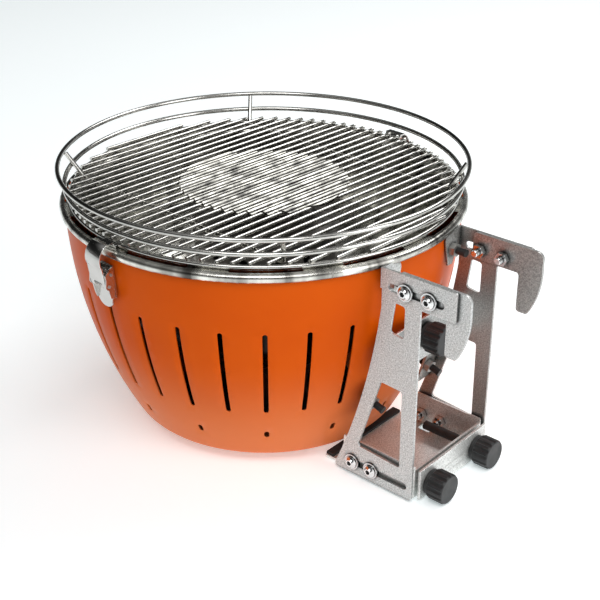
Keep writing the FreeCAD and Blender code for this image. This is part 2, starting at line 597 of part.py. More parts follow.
def make_fan():
    """Fan housing over the base, with the motor, impeller and batteries that it covers."""
    duct, wall, nozzle = dim["duct_radius"], dim["duct_wall"], dim["nozzle_radius"]
    floor, shoulder = dim["pan_sheet"], dim["duct_shoulder"]
    housing = new_body("fan_housing")
    outline(new_sketch(housing, "XZ_Plane", "duct_profile"), [
        (duct, floor), (duct, shoulder), (nozzle, dim["nozzle_foot"]), (nozzle, dim["nozzle_top"]),
        (nozzle - wall, dim["nozzle_top"]), (nozzle - wall, dim["nozzle_foot"] - wall / 2),
        (duct - wall, shoulder - wall / 2), (duct - wall, floor)])
    revolve(housing, doc.getObject("duct_profile"), "duct_turned")
    inlet = new_sketch(housing, "XZ_Plane", "inlet_outline")
    tall_stadium(inlet, floor + 18, shoulder - 6, 9)
    around(housing, pocket(housing, inlet, dim["foot_radius"], "inlet", backward=True), 12, "inlets")
    node(housing, "fan_housing")
    node(tube("motor_seat_ring", dim["motor_radius"] + 3, dim["motor_radius"] - 4,
              dim["motor_foot"] - floor, (0, 0, floor)), "motor_seat")
    shaft_top = dim["fan_level"] + dim["fan_height"]
    motor_top = dim["motor_foot"] + dim["motor_height"]
    node(fuse("motor_with_shaft", [
        cylinder("motor_can", dim["motor_radius"], dim["motor_height"], (0, 0, dim["motor_foot"])),
        cylinder("motor_boss", dim["shaft_radius"] * 2, 1.5, (0, 0, motor_top)),
        cylinder("motor_shaft", dim["shaft_radius"], shaft_top - motor_top, (0, 0, motor_top))]), "fan_motor")
    hub = cylinder("fan_hub", dim["fan_hub"], dim["fan_height"], (0, 0, dim["fan_level"]))
    plate = cylinder("fan_plate", dim["fan_radius"], dim["blade_sheet"], (0, 0, dim["fan_level"]))
    blades = []
    for number in range(dim["blade_count"]):
        blade = box("fan_blade_%d" % number, dim["fan_radius"] - dim["fan_hub"] + 4, dim["blade_sheet"],
                    dim["fan_height"], (-dim["fan_hub"] / 2, dim["fan_hub"] - 3, dim["fan_level"]))
        blade_turn = doc.addObject("Part::Compound", "fan_blade_turned_%d" % number)
        blade_turn.Links = [blade]
        place(blade_turn, angle=number * 360 / dim["blade_count"])
        blades.append(blade_turn)
    bore = cylinder("fan_bore", dim["shaft_radius"] + dim["running_gap"], 60)
    node(cut("impeller_bored", fuse("impeller_blank", [hub, plate] + blades), [bore]), "impeller")
    cells = []
    for number in range(4):
        cell = fuse("cell_%d" % number, [
            cylinder("cell_can_%d" % number, dim["cell_radius"], dim["cell_length"] - 1.5,
                     (dim["cell_offset"], -dim["cell_length"] / 2, floor + 0.2 + dim["cell_radius"]), "Y"),
            cylinder("cell_cap_%d" % number, dim["cell_radius"] / 3, dim["cell_length"],
                     (dim["cell_offset"], -dim["cell_length"] / 2, floor + 0.2 + dim["cell_radius"]), "Y")])
        cells.append(place(cell, angle=45 + 90 * number))
    node(group("cell_set", cells), "battery_cells")


def make_speed_knob():
    """Fan speed knob on the bowl's wall, with the switch that it turns. Returns its hole's tool."""
    tilt = math.radians(90 - dim["knob_tilt"])
    axis, turn = (0, 1, 0), 90 + dim["knob_tilt"]
    wall, level = dim["knob_wall"], drop(dim["knob_drop"])

    def along(distance):
        """A place on the knob's axis, this far outside the bowl's wall."""
        return (wall + math.sin(tilt) * distance, 0, level - math.cos(tilt) * distance)

    def round_bar(name, radius, start, length):
        return place(bind(doc.addObject("Part::Cylinder", name), Radius=radius, Height=length),
                     along(start), axis, turn)

    stand, depth = dim["knob_stand"], dim["knob_depth"]
    stem_end = stand + depth - 4
    grooves = []
    for number in range(18):
        turned = math.radians(360 / 18 * number)
        grooves.append(cylinder("speed_groove_%d" % number, 1.2, depth, (
            dim["knob_radius"] * math.cos(turned), dim["knob_radius"] * math.sin(turned), 2)))
    skirt = cylinder("speed_skirt", dim["knob_radius"], 2)
    grip = cylinder("speed_grip", dim["knob_radius"] - 1, depth)
    bore = cylinder("speed_bore", dim["knob_stem"] + dim["running_gap"] / 2, depth - 4)
    knob = place(cut("speed_knob_cut", fuse("speed_knob_blank", [skirt, grip]), grooves + [bore]),
                 along(stand), axis, turn)
    node(place(group("speed_knob_turned", [knob]), angle=dim["knob_azimuth"]), "speed_knob")
    switch = fuse("switch_solid", [
        round_bar("switch_case", dim["switch_radius"], -dim["switch_depth"] - 2.6, dim["switch_depth"]),
        round_bar("switch_collar", dim["knob_stem"] + 1, -2.6, 2.6)])
    node(place(group("switch_turned", [switch]), angle=dim["knob_azimuth"]), "speed_switch")
    stem = round_bar("stem_bar", dim["knob_stem"], 0.05, stem_end - 0.05)
    node(place(group("stem_turned", [stem]), angle=dim["knob_azimuth"]), "speed_stem")
    hole = round_bar("switch_hole", dim["knob_stem"] + 1.05, -10, 20)
    return place(group("switch_hole_turned", [hole]), angle=dim["knob_azimuth"])


# ---------------------------------------------------------------- charcoal parts
def make_charcoal_parts():
    sheet_metal, bed = dim["basket_sheet"], dim["liner_floor"] + dim["liner_sheet"]
    dish = new_body("ignition_dish")
    outer, edge = dim["dish_radius"], bed + dim["dish_height"]
    outline(new_sketch(dish, "XZ_Plane", "dish_profile"), [
        (dim["dish_hole"], bed), (outer, bed), (outer, edge), (outer - sheet_metal, edge),
        (outer - sheet_metal, bed + sheet_metal), (dim["dish_hole"] + sheet_metal, bed + sheet_metal),
        (dim["dish_hole"] + sheet_metal, edge), (dim["dish_hole"], edge)])
    revolve(dish, doc.getObject("dish_profile"), "dish_turned")
    node(dish, "ignition_dish")

    basket = new_body("charcoal_basket")
    wall, floor, top = dim["basket_radius"], dim["basket_floor"], dim["basket_top"]
    outline(new_sketch(basket, "XZ_Plane", "basket_profile"), [
        (0, floor), (wall - sheet_metal, floor), (wall - sheet_metal, dim["basket_foot"]),
        (wall, dim["basket_foot"]), (wall, top), (wall - sheet_metal, top),
        (wall - sheet_metal, floor + sheet_metal), (0, floor + sheet_metal)])
    revolve(basket, doc.getObject("basket_profile"), "basket_turned")
    holes = new_sketch(basket, "XZ_Plane", "basket_holes")
    for row_number in range(dim["basket_rows"]):
        level = floor + (row_number + 0.5) * (top - floor) / dim["basket_rows"]
        holes.addGeometry(Part.Circle(FreeCAD.Vector(0, float(level), 0), FreeCAD.Vector(0, 0, 1),
                                      float(dim["basket_hole"])))
        holes.addConstraint(Sketcher.Constraint("PointOnObject", row_number, CENTRE, -2))
        pin(holes, "DistanceY", level, -1, 1, row_number, CENTRE)
        pin(holes, "Radius", dim["basket_hole"], row_number)
    around(basket, pocket(basket, holes, dim["basket_radius"] + 1, "basket_hole", backward=True),
           dim["basket_columns"], "basket_rows")
    node(basket, "charcoal_basket")

    lid = new_body("basket_lid")
    brim, step, crown = dim["lid_radius"], dim["lid_step"], dim["lid_crown"]
    low, high = top + dim["lift_gap"], top + dim["lid_rise"]
    outline(new_sketch(lid, "XZ_Plane", "lid_profile"), [
        (0, high - sheet_metal), (crown, high - sheet_metal), (step, low), (brim, low),
        (brim, low + sheet_metal), (step + 0.5, low + sheet_metal), (crown + 0.5, high), (0, high)])
    revolve(lid, doc.getObject("lid_profile"), "lid_turned")
    node(lid, "basket_lid")


# ---------------------------------------------------------------- grate and its fence
def make_centre_disc():
    """Corrugated disc: one wave repeated along X, trimmed round. Each ridge lies on one bar."""
    quarter, half_sheet = dim["bar_pitch"] / 4, dim["disc_sheet"] / 2
    mean_rise = (dim["wave_depth"] - dim["disc_sheet"]) / 2
    radius = (quarter * float(quarter) + mean_rise * float(mean_rise)) / (2 * float(mean_rise))
    sink = radius - mean_rise
    side, lift = half_sheet * float(quarter) / float(radius), half_sheet * float(sink) / float(radius)
    thick, thin = radius + half_sheet, radius - half_sheet
    middle = bar_level + dim["bar_wire"] / 2 + half_sheet - mean_rise
    count = 17
    start = -dim["bar_pitch"] * 8
    body = new_body("disc_waves")
    outline(new_sketch(body, "XZ_Plane", "wave_outline"), [
        (start - quarter - side, middle + lift, -thick), (start + quarter + side, middle + lift, thin),
        (start + 3 * quarter - side, middle + lift), (start + 3 * quarter + side, middle - lift, -thick),
        (start + quarter - side, middle - lift, thin), (start - quarter + side, middle - lift)])
    wave = pad(body, doc.getObject("wave_outline"), dim["disc_radius"] * 2 + 4, "wave", both=True)
    pattern = body.newObject("PartDesign::LinearPattern", "waves")
    pattern.Originals = [wave]
    pattern.Direction = ([f for f in body.Origin.OriginFeatures if f.Role == "X_Axis"][0], [""])
    bind(pattern, Length=dim["bar_pitch"] * (count - 1), Occurrences=count)
    body.Tip = pattern
    trim = cylinder("disc_trim", dim["disc_radius"], 20, (0, 0, bar_level - 10))
    disc = doc.addObject("Part::Common", "disc_trimmed")
    disc.Base = body
    disc.Tool = trim
    return node(place(disc, angle=dim["grate_turn"]), "centre_disc")


def make_grate():
    turn = dim["grate_turn"]
    wire, ring = dim["grate_wire"] / 2, dim["grate_radius"]
    node(torus("grate_ring_torus", ring, wire, grate_level), "grate_ring")
    bars = []
    bar_radius = dim["bar_wire"] / 2
    middle = (dim["bar_count"] - 1) // 2
    for number in range(dim["bar_count"]):
        x = (number - middle) * dim["bar_pitch"]
        reach = half_chord(ring + wire / 2, x)
        at = (x, -reach, bar_level)
        if abs(x) >= dim["disc_radius"]:
            bars.append(cylinder("bar_%d" % number, bar_radius, reach * 2, at, "Y"))
            continue
        tuck = half_chord(dim["disc_radius"], x) - 4
        bars.append(cylinder("bar_%d_front" % number, bar_radius, reach - tuck, at, "Y"))
        bars.append(cylinder("bar_%d_back" % number, bar_radius, reach - tuck, (x, tuck, bar_level), "Y"))
    node(place(group("bar_set", bars), angle=turn), "grate_bars")
    make_centre_disc()

    fence_wire = dim["fence_wire"] / 2
    top_ring = torus("top_ring_torus", dim["fence_radius"], fence_wire, rim + dim["fence_rise"])
    node(top_ring, "fence_top_ring")
    mid_ring = torus("mid_ring_torus", dim["mid_ring_radius"], fence_wire, rim + dim["mid_ring_rise"])
    node(mid_ring, "fence_mid_ring")
    rods = []
    for name, side, tilt in (("front", -1, 180 - dim["post_tilt"]), ("back", 1, dim["post_tilt"])):
        rod = bent_wire("cross_rod_" + name, (dim["rod_half"], dim["post_reach"], dim["post_length"]),
                        dim["rod_bend"], wire)
        rods.append(place(rod, (0, side * dim["rod_offset"], grate_level), (1, 0, 0), tilt))
    turned = place(group("cross_rod_pair", rods), angle=turn)
    node(cut("cross_rods_coped", turned, [top_ring]), "cross_rods")


# ---------------------------------------------------------------- rim clips
def rivet_bar(name):
    """The rivet that holds a clip's base to the bowl, and the bore for it, drawn at azimuth 0."""
    foot = (dim["rivet_foot"], 0, drop(dim["rivet_drop"]))
    return cylinder(name, dim["rivet_radius"], dim["rivet_length"], foot, "X")


def make_clip(side, azimuth):
    """One over-centre clip, drawn at azimuth 0 and then turned into place."""
    sheet_metal, width, gap = dim["clip_sheet"], dim["strap_width"], dim["clip_gap"]
    pivot_x, pivot_z = dim["clip_pivot_radius"], drop(dim["clip_pivot_drop"])
    eye_x, eye_z = dim["strap_pivot_radius"], drop(dim["strap_pivot_drop"])
    bore = dim["pin_radius"] + dim["pin_gap"]
    lever_ear = width / 2 + gap
    base_ear = width / 2 - sheet_metal - gap

    def turned(name, piece, label):
        return node(place(group(name + side, [piece]), angle=azimuth), label + side)

    def hole(name, x, z, radius):
        return cylinder(name + side, radius, 40, (x, -20, z), "Y")

    # lever: a back plate with two ears that carry both pins
    lever_foot, half_lever = drop(dim["lever_drop"]), lever_ear + sheet_metal
    tip_level = lever_foot + dim["lever_tip_rise"]
    cheek, _ = slab("lever_ears" + side, -half_lever, 2 * half_lever, [
        (pivot_x - 2.6, pivot_z + 3), (pivot_x + 1.5, pivot_z + 3, -4), (eye_x + 2.4, pivot_z - 3),
        (eye_x + 2.9, eye_z + 1, -3.4), (eye_x + 0.5, eye_z - 3), (pivot_x - sheet_metal, lever_foot),
        (pivot_x - 2 * sheet_metal, lever_foot)])
    between = box("lever_gap" + side, 30, 2 * lever_ear, 60, (pivot_x - sheet_metal, -lever_ear, drop(60)))
    above = box("lever_window" + side, 30, 2 * lever_ear, 30, (pivot_x - 10, -lever_ear, eye_z - 5))
    tip = cylinder("lever_tip" + side, half_lever, 30, (pivot_x - 15, 0, tip_level), "X")
    keep = box("lever_keep" + side, 30, 40, 60, (pivot_x - 15, -20, tip_level))
    shaped = doc.addObject("Part::Common", "lever_shaped" + side)
    shaped.Base = cheek
    shaped.Tool = fuse("lever_bounds" + side, [tip, keep])
    lever = cut("lever_cut" + side, shaped, [between, above, hole("lever_pivot", pivot_x, pivot_z, bore),
                                             hole("lever_eye", eye_x, eye_z, dim["pin_radius"])])
    turned("lever_turned", lever, "clip_lever")

    # base: a plate on the bowl with two ears inside the lever's ears
    back = dim["rivet_foot"] + dim["rivet_length"] + 0.2
    low = drop(dim["base_foot_drop"])
    foot, _ = slab("base_ears" + side, -base_ear, 2 * base_ear, [
        (back, drop(dim["base_ear_drop"])), (pivot_x + 1, pivot_z + 2.4, -2.6), (pivot_x + 1, pivot_z - 2.6),
        (back + 1, drop(24)), (back - 0.8, low), (back - 2.1, low)])
    hollow = box("base_gap" + side, 30, 2 * (base_ear - sheet_metal), 60,
                 (back + sheet_metal, -(base_ear - sheet_metal), drop(60)))
    base_holes = [hole("base_pivot", pivot_x, pivot_z, dim["pin_radius"]),
                  rivet_bar("base_rivet_bore" + side)]
    turned("base_turned", cut("base_cut" + side, foot, [hollow] + base_holes), "clip_base")

    # strap: an eye on its pin, a straight leg and a hook over the rim
    eye_rim = dim["eye_radius"]
    bend, bend_level = dim["strap_bend_radius"], drop(dim["strap_bend_drop"])
    hook, hook_foot, hook_turn = dim["strap_hook_radius"], plateau + 0.4, plateau + 2.7
    hook_top = hook + 3.2
    strap, _ = slab("strap_leg" + side, -width / 2, width, [
        (eye_x + eye_rim, eye_z), (bend, bend_level, 14), (bend - 6.5, plateau + 5.6),
        (hook_top, plateau + 5.9, -3.2), (hook, hook_turn), (hook, hook_foot),
        (hook + sheet_metal, hook_foot), (hook + sheet_metal, hook_turn, 2.0),
        (hook_top, plateau + 4.7), (bend - 6.8, plateau + 4.4, -12.8),
        (bend - sheet_metal, bend_level), (eye_x + eye_rim - sheet_metal, eye_z)])
    eye = cylinder("strap_eye" + side, eye_rim, width, (eye_x, -width / 2, eye_z), "Y")
    slot_width = width * 0.55
    slot = box("strap_slot" + side, 12, slot_width, 5, (eye_x - 6, -slot_width / 2, eye_z - 2.7))
    turned("strap_turned", cut("strap_cut" + side, fuse("strap_whole" + side, [strap, eye]),
                               [hole("strap_bore", eye_x, eye_z, bore), slot]), "clip_strap")

    pin_length = 2 * half_lever + 1
    turned("strap_pin_turned", cylinder("strap_pin_bar" + side, dim["pin_radius"], pin_length,
                                        (eye_x, -pin_length / 2, eye_z), "Y"), "strap_pin")
    pivot = cylinder("pivot_bar" + side, dim["pin_radius"], pin_length,
                     (pivot_x, -pin_length / 2, pivot_z), "Y")
    return (place(group("pivot_turned" + side, [pivot]), angle=azimuth),
            place(group("rivet_turned" + side, [rivet_bar("rivet_bar" + side)]), angle=azimuth))


# ---------------------------------------------------------------- railing bracket
def side_offset(side, face, thickness):
    """Where a plate starts, measured towards -Y, for the near (-Y) or the far (+Y) side."""
    return face - thickness if side == "near" else -face


def plate_slot(body, feature, name, start, end, level, offset):
    slot = new_sketch(body, "XZ_Plane", name, offset)
    stadium(slot, start, end, dim["slot_width"], level)
    return pocket(body, slot, 6, name + "_cut")


def make_side_plate(side):
    """Outer plate with two long slots, two windows and two bent tabs."""
    thickness, face = dim["plate_sheet"], dim["plate_face"]
    offset = side_offset(side, face, thickness)
    sign = -1 if side == "near" else 1
    edge, nose, post, heel = dim["plate_edge"], dim["plate_nose"], dim["plate_post"], dim["plate_heel"]
    base, throat = dim["plate_base"], drop(dim["nose_drop"])
    body, _ = slab("side_plate_body_" + side, offset, thickness, [
        (edge, rim), (edge, drop(dim["edge_top_drop"]), -dim["edge_arc"]), (heel, base + dim["heel_rise"]),
        (heel, base), (post, base), (post, throat), (nose, throat), (nose, rim)])
    upper, lower = window_corners("upper"), window_corners("lower")
    windows = new_sketch(body, "XZ_Plane", "windows_" + side, offset + thickness)
    outline(windows, upper)
    outline_more(windows, lower)
    feature = pocket(body, windows, thickness + 1, "window_cut_" + side)
    rounded = round_corners(body, "window_round_" + side, feature, corner_spots(upper + lower),
                            dim["window_corner"])
    rounded = round_corners(body, "plate_round_" + side, rounded,
                            corner_spots([(nose, rim), (nose, throat), (post, throat)]), 2)
    rounded = round_corners(body, "foot_round_" + side, rounded,
                            corner_spots([(post, base), (heel, base)]), 3)
    plate_slot(body, rounded, "upper_slot_" + side, dim["upper_slot_start"], dim["upper_slot_end"],
               drop(dim["upper_slot_drop"]), offset + thickness)
    plate_slot(body, rounded, "lower_slot_" + side, dim["lower_slot_start"], dim["lower_slot_end"],
               dim["lower_slot_rise"], offset + thickness)

    # upper tab, bent inwards along the bowl's side, carries a rubber-tipped screw
    tab = new_body("upper_tab_" + side)
    inner, low = dim["tab_inner"] * sign, drop(dim["tab_drop"])
    corner, root_level = dim["tab_corner"], drop(dim["tab_root_drop"])
    tab_outline = new_sketch(tab, "YZ_Plane", "upper_tab_outline_" + side, dim["tab_face"])
    outline(tab_outline, [
        (face * sign, rim), (inner + (corner - 1) * sign, rim, corner * sign), (inner, drop(corner)),
        (inner + 5 * sign, low), (inner + 11 * sign, low), (dim["tab_root"] * sign, root_level),
        (face * sign, root_level)])
    pad(tab, tab_outline, dim["tab_sheet"], "upper_tab_pad_" + side)

    # lower tab, bent inwards along the sloping edge, carries a second one
    lean = dim["low_tab_tilt"]
    width, length = dim["low_tab_width"], dim["low_tab_length"]
    start = -face if side == "near" else face - width
    low_tab = box("low_tab_" + side, dim["tab_sheet"], width, length,
                  (-dim["tab_sheet"] / 2, start, -length / 2))
    low_tab_turned = doc.addObject("Part::Compound", "low_tab_turned_" + side)
    low_tab_turned.Links = [low_tab]
    place(low_tab_turned, (dim["low_tab_radius"], 0, drop(dim["low_tab_drop"])), (0, 1, 0), lean)
    bores = []
    for name, spot, turn in bumper_places(sign):
        bore = bind(doc.addObject("Part::Cylinder", name + "_bore_" + side), Radius=dim["bolt_radius"],
                    Height=60)
        reach = FreeCAD.Rotation(FreeCAD.Vector(0, 1, 0), float(turn)).multVec(FreeCAD.Vector(0, 0, -30))
        bores.append(place(bore, (spot[0] + reach.x, spot[1], spot[2] + reach.z), (0, 1, 0), turn))
    whole = fuse("side_plate_whole_" + side, [body, tab, low_tab_turned])
    node(cut("side_plate_bored_" + side, whole, bores), "side_plate_" + side)


def window_corners(which):
    """The four corners of the upper or the lower window in a side plate."""
    start = "window_" + which
    outer_drop = dim[start + "_outer_drop"]
    base = dim[start + ("_base" if which == "lower" else "_outer")]
    return [(dim[start + "_inner"], drop(dim[start + "_inner_drop"])),
            (dim[start + "_outer"], drop(outer_drop)), (base, drop(dim[start + "_base_drop"])),
            (dim[start + "_foot"], drop(dim[start + "_foot_drop"]))]


def corner_spots(points):
    return [(float(x), float(z)) for x, z in points]


def outline_more(sketch, corners):
    """A second closed outline of straight lines in a sketch that already has one."""
    first = sketch.GeometryCount
    for index, corner in enumerate(corners):
        following = corners[(index + 1) % len(corners)]
        sketch.addGeometry(Part.LineSegment(FreeCAD.Vector(float(corner[0]), float(corner[1]), 0),
                                            FreeCAD.Vector(float(following[0]), float(following[1]), 0)))
    for index, corner in enumerate(corners):
        number, following = first + index, first + (index + 1) % len(corners)
        sketch.addConstraint(Sketcher.Constraint("Coincident", number, 2, following, 1))
        pin(sketch, "DistanceX", corner[0], -1, 1, number, 1)
        pin(sketch, "DistanceY", corner[1], -1, 1, number, 1)


def bumper_places(sign):
    """Name, place on the tab's outer face, and turn about Y of each bumper screw on one side."""
    side = dim["bumper_side"] * sign
    lean = math.radians(dim["low_tab_tilt"])
    half = dim["tab_sheet"] / 2
    return [("upper_bumper", (dim["tab_face"] + dim["tab_sheet"], side, drop(dim["bumper_drop"])), Size(90)),
            ("lower_bumper", (dim["low_tab_radius"] + half * math.cos(lean), side,
                              drop(dim["low_tab_drop"]) - half * math.sin(lean)), 90 + dim["low_tab_tilt"])]


def make_bumpers():
    """Rubber-tipped screws through the four tabs, with their lock nuts."""
    screws, tips, nuts = [], [], []
    length, reach = dim["bumper_length"], dim["bumper_radius"]
    for side, sign in (("near", -1), ("far", 1)):
        for name, spot, turn in bumper_places(sign):
            mark = name + "_" + side
            height = dim[name.split("_")[0] + "_tip"]
            back = dim["tab_sheet"] + dim["tip_gap"] + height
            screw = fuse(mark + "_screw", [
                cylinder(mark + "_thread", dim["bolt_radius"], length, (0, 0, -dim["tab_sheet"])),
                cylinder(mark + "_driver", dim["bolt_radius"] + 0.3, 2, (0, 0, length - 4))])
            tip = cone(mark + "_tip", reach - dim["tip_flare"], reach, height, (0, 0, -back))
            nut = cut(mark + "_nut", hexagon(mark + "_nut_blank", dim["nut_radius"], dim["nut_height"]),
                      [cylinder(mark + "_nut_bore", dim["bolt_radius"], dim["nut_height"])])
            for piece, pieces in ((screw, screws), (tip, tips), (nut, nuts)):
                holder = place(group(piece.Name + "_placed", [piece]), spot, (0, 1, 0), turn)
                pieces.append(holder)
    node(group("bumper_screw_set", screws), "bumper_screws")
    node(group("bumper_tip_set", tips), "bumper_tips")
    node(group("bumper_nut_set", nuts), "bumper_nuts")


def hexagon(name, radius, height):
    blank = doc.addObject("Part::Prism", name)
    blank.Polygon = 6
    return bind(blank, Circumradius=radius, Height=height)


def make_hook(side):
    """Sliding hook plate inside a side plate, with the two bolts that clamp it there."""
    thickness = dim["hook_sheet"]
    face = dim["plate_face"] - dim["plate_sheet"] - dim["slide_gap"]
    sign = -1 if side == "near" else 1
    start, end, throat = dim["hook_start"], dim["hook_end"], dim["hook_throat"]
    gap, beak = drop(dim["rail_gap_drop"]), drop(dim["beak_drop"])
    offset = side_offset(side, face, thickness)
    body, blank = slab("hook_body_" + side, offset, thickness, [
        (start, rim), (start, gap), (throat, gap), (throat, beak), (throat + 10, beak, 75),
        (end, drop(12)), (end, rim)])
    tips = corner_spots([(throat, beak), (throat + 10, beak), (start, rim), (start, gap)])
    rounded = round_corners(body, "hook_tip_round_" + side, blank, tips, 3)
    rounded = round_corners(body, "hook_top_round_" + side, rounded, corner_spots([(end, rim)]), 6)
    round_corners(body, "hook_throat_round_" + side, rounded, corner_spots([(throat, gap)]), 3)
    level = drop(dim["upper_slot_drop"])
    holes = [cylinder("hook_hole_%s_%d" % (side, number), dim["bolt_radius"] + 0.02, 8,
                      (x, sign * (face - thickness / 2) - 4, level), "Y")
             for number, x in enumerate(HOOK_BOLTS)]
    node(cut("hook_drilled_" + side, body, holes), "hook_plate_" + side)
    bolt_sets(side, "hook", HOOK_BOLTS, level, face - thickness)


def bolt_sets(side, name, spots, level, inner_face):
    """Bolts, washers and nuts through a side plate's slot, each kind in one node.

    Both sides of the tray move together, so they share their nodes.
    """
    sign, along = (-1, "Y") if side == "near" else (1, "-Y")
    outer = dim["plate_face"] * sign
    seat = outer + sign * (dim["washer_sheet"] + dim["washer_gap"])
    bolts, washers, nuts = [], [], []
    for number, x in enumerate(spots):
        mark = "%s_%s_%d" % (name, side, number)
        bolts.append(button_bolt(mark + "_bolt", (x, seat, level), along))
        washers.append(tube(mark + "_washer", dim["washer_radius"], dim["bolt_radius"] + 0.2,
                            dim["washer_sheet"], (x, seat, level), along))
        nuts.append(hex_nut(mark + "_nut", (x, inner_face * sign, level), along))
    tail = "_" + side if name == "hook" else ""
    for kind, pieces in (("_bolts", bolts), ("_washers", washers), ("_nuts", nuts)):
        bolt_nodes.setdefault(name + kind + tail, []).extend(pieces)


def make_tray():
    """Sliding shelf: floor with a tongue under the bowl, two side walls and a front wall."""
    wall, base = dim["tray_wall"], dim["plate_base"]
    outer = dim["plate_face"] - dim["plate_sheet"] - dim["tray_gap"]
    back, front, end = dim["tray_back"], dim["tray_front"], dim["tongue_end"]
    floor = box("tray_floor", front - end, dim["tongue_side"] * 2, wall, (end, -dim["tongue_side"], base))
    front_wall = box("tray_front_wall", wall, outer * 2, dim["tray_front_rise"], (front - wall, -outer, base))
    pieces = [floor, front_wall]
    rise = dim["tray_rise"] - base
    for side, start in (("near", -outer), ("far", outer - wall)):
        pieces.append(box("tray_side_" + side, front - back, wall, rise, (back, start, base)))
        pieces.append(box("tray_edge_" + side, front - back, outer - dim["tongue_side"], wall,
                          (back, -outer if side == "near" else dim["tongue_side"], base)))
    tools = []
    for side, sign in (("near", -1), ("far", 1)):
        notch_side = sign * (outer - wall - dim["notch_inset"]) - dim["notch_width"] / 2
        tools.append(box("tray_notch_" + side, dim["notch_length"], dim["notch_width"], wall * 3,
                         (dim["notch_start"], notch_side, base - wall)))
        tools.append(cylinder("tray_thread_" + side, dim["screw_radius"] + dim["running_gap"], 20,
                              (front - 10, sign * dim["screw_side"], dim["screw_height"]), "X"))
        for number, x in enumerate(TRAY_BOLTS):
            tools.append(cylinder("tray_hole_%s_%d" % (side, number), dim["bolt_radius"] + 0.02, 10,
                                  (x, sign * outer - 5, dim["lower_slot_rise"]), "Y"))
    solid = fuse("tray_solid", pieces)
    rounded = doc.addObject("Part::Fillet", "tray_rounded")
    rounded.Base = solid
    doc.recompute()
    corner = float(dim["tray_corner"])
    rounded.Edges = [(number, corner, corner) for number, edge in enumerate(solid.Shape.Edges, start=1)
                     if upright(edge) and abs(edge.Vertexes[0].X - float(front)) < NEAR
                     and abs(abs(edge.Vertexes[0].Y) - float(outer)) < NEAR]
    node(cut("tray_cut", rounded, tools), "tray")
    node(box("tongue_pad_strip", dim["tongue_pad_length"], dim["tongue_side"] * 2 - 2, dim["tongue_pad"],
             (end, 1 - dim["tongue_side"], base + wall)), "tongue_pad")
    spacer = dim["tray_gap"] - dim["washer_gap"]
    for side, sign, along in (("near", -1, "Y"), ("far", 1, "-Y")):
        bolt_sets(side, "tray", TRAY_BOLTS, dim["lower_slot_rise"], outer - wall)
        for number, x in enumerate(TRAY_BOLTS):
            ring = tube("tray_spacer_%s_%d" % (side, number), dim["washer_radius"], dim["bolt_radius"] + 0.2,
                        spacer, (x, sign * (outer + spacer), dim["lower_slot_rise"]), along)
            bolt_nodes["tray_washers"].append(ring)


def upright(edge):
    ends = [vertex.Point for vertex in edge.Vertexes]
    return len(ends) == 2 and abs(ends[0].x - ends[1].x) < TINY and abs(ends[0].y - ends[1].y) < TINY


def make_clamp():
    """Clamp plate on two knob screws in front of the shelf."""
    side, rise, base = dim["clamp_side"], dim["clamp_rise"], dim["plate_base"]
    blank = box("clamp_blank", dim["clamp_sheet"], side * 2, rise - base, (dim["clamp_face"], -side, base))
    bore = dim["screw_radius"] + dim["running_gap"]
    knob_face = dim["clamp_face"] + dim["clamp_sheet"] + dim["slide_gap"]
    length = knob_face + dim["grip_hub_depth"] + dim["grip_reach"] - dim["screw_end"]
    level = dim["screw_height"]
    tools, nuts = [], []
    for name, sign in (("near", -1), ("far", 1)):
        across = sign * dim["screw_side"]
        tools.append(cylinder("clamp_bore_" + name, bore, 20, (dim["clamp_face"] - 5, across, level), "X"))
        node(cylinder("clamp_spindle_bar_" + name, dim["screw_radius"], length,
                      (dim["screw_end"], across, level), "X"), "clamp_spindle_" + name)
        node(grip_knob("clamp_knob_" + name, (knob_face, across, level)), "clamp_knob_" + name)
        nuts.append(tube("weld_nut_" + name, dim["screw_radius"] + 3, bore, 5,
                         (dim["tray_front"] - dim["tray_wall"] - 5, across, level), "X"))
    node(cut("clamp_bored", blank, tools), "clamp_plate")
    node(group("weld_nut_set", nuts), "weld_nuts")


def make_cross_plate():
    """Plate between the side plates, with the middle knob screw that presses on the bowl."""
    face, sheet_metal = dim["cross_face"], dim["plate_sheet"]
    across = dim["plate_face"] - sheet_metal
    bottom = drop(dim["cross_top_drop"] + dim["cross_rise"])
    level = drop(dim["mid_screw_drop"])
    bore = dim["screw_radius"] + dim["running_gap"]
    blank = box("cross_blank", sheet_metal, across * 2, dim["cross_rise"], (face, -across, bottom))
    hole = cylinder("cross_bore", bore, 20, (face - 5, 0, level), "X")
    node(cut("cross_bored", blank, [hole]), "cross_plate")
    pad_radius, pad_face, depth = dim["mid_pad_radius"], dim["mid_pad_face"], dim["mid_pad_depth"]
    node(cone("mid_pad_solid", pad_radius - 1.5, pad_radius, depth, (pad_face, 0, level), "X"), "press_pad")
    length = dim["mid_hub_face"] + dim["grip_hub_depth"] + dim["grip_reach"] - pad_face - depth
    node(cylinder("mid_spindle_bar", dim["screw_radius"], length, (pad_face + depth, 0, level), "X"),
         "press_spindle")
    node(grip_knob("mid_knob", (dim["mid_hub_face"], 0, level)), "press_knob")



